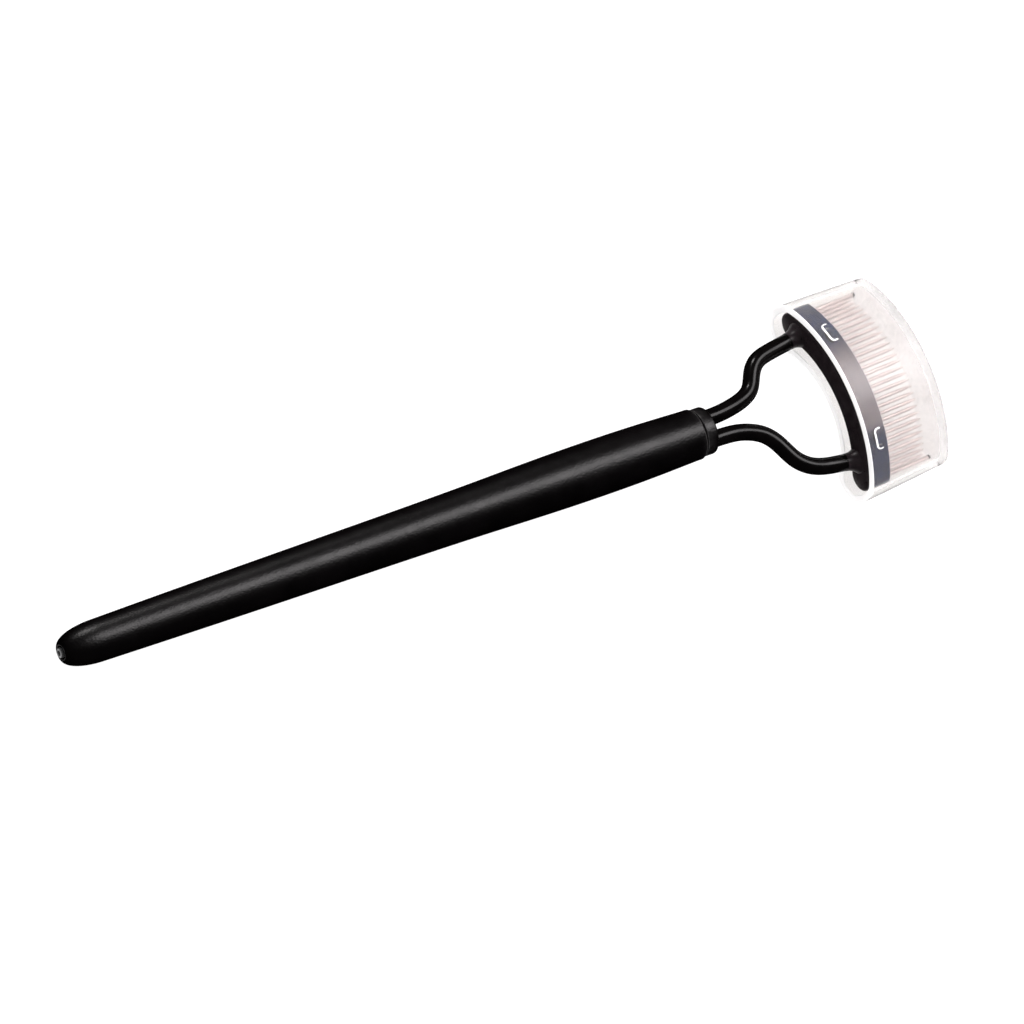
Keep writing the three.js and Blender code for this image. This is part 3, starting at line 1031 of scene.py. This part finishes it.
@dataclass(frozen=True)
class Cover:
    """The push-on cover: a drafted frosted shell with two snap pockets over the bar.

    Attributes:
        half_cavity: Half the cavity's width across the arc.
        wall: Thickness of the wall.
        rear: Where the mouth's rim is, from the bar's rear face.
        front: Where the end wall's outer face is.
        floor: Where its inner face is.
        draft: How much narrower the front is than the mouth, as a share.
        draft_pivot: Height above the arc's centre that the draft narrows towards.
        corner: Rounding of the front edge.
        end_wall_painted_shade: How much painted shade, in the finish's grey worn tone, the end
        wall takes.
        lobe: How far the mouth's two ends reach back.
        lobe_angles: Angles over which they do.
        lobe_reach: How far forward the lobes fade out.
        snap_height: How far the snap pockets stand out.
    """

    drop: float = 11.96
    mid_radius: float = 14.45
    half_cavity: float = 2.75
    wall: float = 1.05
    rear: float = -0.1
    front: float = 13.0
    floor: float = 12.0
    end_angle: float = 48.2
    draft: float = 0.05
    draft_pivot: float = 12.0
    corner: float = 0.5
    end_wall_painted_shade: float = 0.6
    lobe: float = 0.85
    lobe_angles: tuple[float, float] = (50.0, 59.0)
    lobe_reach: float = 3.0
    snap_angle: float = 26.0
    snap_x: float = 1.85
    snap_half_length: float = 1.45
    snap_half_width: float = 0.62
    snap_height: float = 0.22
    arc_points: int = 421

    def profile(self) -> Array:
        """(x, half width) from the front face round the mouth's rim to the cavity's floor."""
        out, ins = self.half_cavity + self.wall, self.half_cavity
        fine = np.linspace(0.8, 3.3, 34)
        outer = rounded([
            (self.front, 0.8, 0), (self.front, out, self.corner), (4.0, out, 0),
        ], 8)
        coarse = np.linspace(11.5, 4.5, 8)
        outer = np.concatenate([outer[:-1], np.stack([coarse, np.full(8, out)], -1)])
        pocket_out = np.stack([fine[::-1], np.full(len(fine), out)], -1)
        rim = rounded([
            (0.5, out, 0), (self.rear, out, 0.22), (self.rear, ins, 0.16), (0.5, ins, 0),
        ], 6)
        pocket_in = np.stack([fine, np.full(len(fine), ins)], -1)
        inner = rounded([(4.5, ins, 0), (self.floor, ins, 0.35), (self.floor, 0.8, 0)], 6)
        return np.concatenate([outer, pocket_out, rim, pocket_in, inner])

    def pocket(self, x: Array, angle: Array) -> tuple[Array, Array]:
        """How far a snap pocket stands out, and how much its lip shows.

        Args:
            x: Places along X.
            angle: Angles from +Z, in radians.

        Returns:
            The height in millimetres and the lip's share. The pocket is a flat-topped patch
            with a short slope at its rear edge and its ends and a long one at its front. The
            lip is a narrow ridge on the outline of a round-cornered rectangle, by the distance
            to that outline, and it fades out before the front.
        """
        reach = self.mid_radius + self.half_cavity + self.wall
        arc = (np.abs(angle) - math.radians(self.snap_angle)) * reach
        side = np.clip((self.snap_half_length - np.abs(arc)) / 0.3, 0, 1)
        rear = np.clip((x - self.snap_x + self.snap_half_width) / 0.22, 0, 1)
        front = np.clip((self.snap_x + self.snap_half_width + 0.5 - x) / 1.0, 0, 1)
        patch = side * rear * front
        patch = patch * patch * (3 - 2 * patch)
        bend = 0.45
        past_x = np.abs(x - self.snap_x) - self.snap_half_width + bend
        past_arc = np.abs(arc) - self.snap_half_length + bend
        inside = np.minimum(np.maximum(past_x, past_arc), 0)
        gap = np.hypot(np.maximum(past_x, 0), np.maximum(past_arc, 0)) + inside - bend
        lip = np.exp(-((gap / 0.125) ** 2)) * np.clip((self.snap_x + 0.5 - x) / 0.3, 0, 1)
        return self.snap_height * patch, lip

    def shell(self) -> Surface:
        """The whole cover.

        Returns:
            Its skin in the head frame. Both snap pockets push the outer and inner wall out
            along the radius, and the draft then scales y and z about a pivot by an amount that
            grows with x. The mouth's two ends reach back as rounded lobes, by a smooth step in
            the angle that fades out along x.
        """
        profile = self.profile()
        band = ArcBand(self.mid_radius, self.end_angle, self.arc_points, 25)
        skin = band.body(profile, 0.0)
        flat_x, y, z = skin.points.T
        radius, angle = np.hypot(y, z), np.arctan2(y, z)
        height, lip = self.pocket(flat_x, angle)
        top = radius > self.mid_radius + self.half_cavity - 0.01
        outer = radius > self.mid_radius + self.half_cavity + self.wall - 0.3
        height = np.where(top, height + np.where(outer, 0.1 * lip, 0), 0)
        # The lip outline is a low raised ridge, and it is also painted: its share marks a painted
        # highlight.
        skin.wear_and_painted_light[:] = np.where(outer, lip, 0)
        y, z = y + height * np.sin(angle), z + height * np.cos(angle)
        scale = 1 - self.draft * (flat_x - self.rear) / (self.front - self.rear)
        low, high = (math.radians(limit) for limit in self.lobe_angles)
        ends = np.clip((np.abs(angle) - low) / (high - low), 0, 1)
        ends = ends * ends * (3 - 2 * ends) * np.clip(1 - flat_x / self.lobe_reach, 0, 1)
        x = flat_x - self.lobe * ends
        z = self.draft_pivot + (z - self.draft_pivot) * scale - self.drop
        skin.points = np.stack([x, y * scale, z], -1)
        face_x = np.array([flat_x[face].mean() for face in skin.faces])
        # Faces along the lip take the white edge finish, a painted highlight.
        lips = np.array([skin.wear_and_painted_light[face].mean() for face in skin.faces]) > 0.5
        skin.rim[:] = (face_x < self.rear + 0.12) | lips
        # Painted shade: the end wall takes the finish's grey worn tone.
        end_wall = flat_x > self.front - self.corner
        skin.wear_and_painted_light[:] = np.maximum(skin.wear_and_painted_light, self.end_wall_painted_shade * end_wall)
        return skin

    def build(self, lie: Lie) -> None:
        """Makes and dresses the cover."""
        piece("frosted_cover", self.shell().placed(lie.head), Body.COVER,
              [FROSTED.material(), FROSTED_RIM_AND_LIP_HIGHLIGHT.material()], ["cover"])


# ---- studio --------------------------------------------------------------------------------------


@dataclass(frozen=True)
class Softbox:
    """One rectangular studio light.

    Attributes:
        name: Its name.
        toward: Direction from the object to the light.
        distance: How far away it is, in metres.
        size: Its width and height in metres.
        watts: Its power.
        colour: The colour of its light.
    """

    name: str
    toward: tuple[float, float, float]
    distance: float
    size: tuple[float, float]
    watts: float
    colour: Colour = (1.0, 1.0, 1.0)

    def build(self) -> None:
        """Hangs the light and aims it at the table's middle."""
        data = bpy.data.lights.new(self.name, "AREA")
        data.shape = "RECTANGLE"
        data.size, data.size_y = self.size
        data.energy = self.watts
        data.color = self.colour
        made = bpy.data.objects.new(self.name, data)
        way = Vector(self.toward).normalized()
        made.location = way * self.distance
        made.rotation_euler = way.to_track_quat("Z", "Y").to_euler()
        bpy.context.scene.collection.objects.link(made)
        log.info("%s: %.1f W", self.name, self.watts)


@dataclass(frozen=True)
class Camera:
    """A long-lens camera over the table.

    Attributes:
        azimuth: Degrees round the object, 0 looking along +Y.
        elevation: Degrees above the table.
        roll: Degrees the camera is turned about its own line of sight.
        aim: The point in the middle of the picture, in millimetres in the row frame.
        view_width: Width of the picture at that point, in millimetres.
        lens: Focal length in millimetres.
    """

    azimuth: float = -77.543
    elevation: float = 59.985
    roll: float = 56.86
    aim: tuple[float, float, float] = (4.136, -0.358, 3.963)
    view_width: float = 138.24
    lens: float = 1500.0

    def build(self) -> None:
        """Sets the camera up."""
        data = bpy.data.cameras.new("table_camera")
        data.lens, data.sensor_width = self.lens, 36.0
        distance = self.view_width * MM * self.lens / data.sensor_width
        a, e, turn = (math.radians(v) for v in (self.azimuth, self.elevation, self.roll))
        back = Vector((math.sin(a) * math.cos(e), -math.cos(a) * math.cos(e), math.sin(e)))
        level = Vector((math.cos(a), math.sin(a), 0))
        right = math.cos(turn) * level + math.sin(turn) * back.cross(level)
        pose = Matrix([right, back.cross(right), back]).transposed().to_4x4()
        pose.translation = Vector(self.aim) * MM + back * distance
        made = bpy.data.objects.new("table_camera", data)
        made.matrix_world = pose
        data.clip_start, data.clip_end = 0.05, distance * 4
        bpy.context.scene.collection.objects.link(made)
        bpy.context.scene.camera = made


@dataclass(frozen=True)
class Studio:
    """A white lit table in a soft bright room.

    Neither of them shows in mirror-like reflections, so that black lacquer stays black and only
    the softboxes shine in it. Both still light the tool and show through the frosted cover.
    """

    table_half: float = 4.0
    table_glow: float = 0.92
    table_white: float = 0.25
    room: Colour = (1.0, 1.0, 1.02)
    room_strength: float = 1.0
    lights: tuple[Softbox, ...] = (
        Softbox("key_softbox", (0.47, 0.115, 0.87), 0.9, (0.42, 0.44), 8.8, (1.0, 0.965, 0.975)),
        Softbox("tail_softbox", (0.05, 0.877, 0.478), 0.34, (0.055, 0.055), 0.5, (1.0, 0.97, 0.96)),
    )

    def build(self) -> None:
        """Makes the table, the room's light and the softboxes."""
        half = self.table_half
        mesh = bpy.data.meshes.new("table_top")
        mesh.from_pydata([(-half, -half, 0), (half, -half, 0), (half, half, 0), (-half, half, 0)],
                         [], [(0, 1, 2, 3)])
        bench = NodeBench("table_white")
        bench.shader.inputs["Base Color"].default_value = (*[self.table_white] * 3, 1)
        bench.shader.inputs["Roughness"].default_value = 0.9
        bench.shader.inputs["Specular IOR Level"].default_value = 0.0
        bench.shader.inputs["Emission Color"].default_value = (1, 1, 1, 1)
        bench.shader.inputs["Emission Strength"].default_value = self.table_glow
        mesh.materials.append(bench.material)
        table = bpy.data.objects.new("table_top", mesh)
        bpy.context.scene.collection.objects.link(table)
        table.visible_glossy = False
        world = bpy.data.worlds.new("studio_room")
        world.use_nodes = True
        background = world.node_tree.nodes["Background"]
        background.inputs["Color"].default_value = (*self.room, 1)
        background.inputs["Strength"].default_value = self.room_strength
        bpy.context.scene.world = world
        world.cycles_visibility.glossy = False
        for light in self.lights:
            light.build()
        bpy.context.scene.view_settings.view_transform = "Standard"


def main() -> None:
    """Builds every part of the comb, then the studio."""
    logging.basicConfig(level=logging.INFO, format="%(name)s %(message)s")
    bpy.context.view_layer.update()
    lie = Lie()
    Handle().build(lie)
    Fork().build(lie)
    Comb().build(lie)
    Cover().build(lie)
    Studio().build()
    Camera().build()


if __name__ == "__main__":
    main()
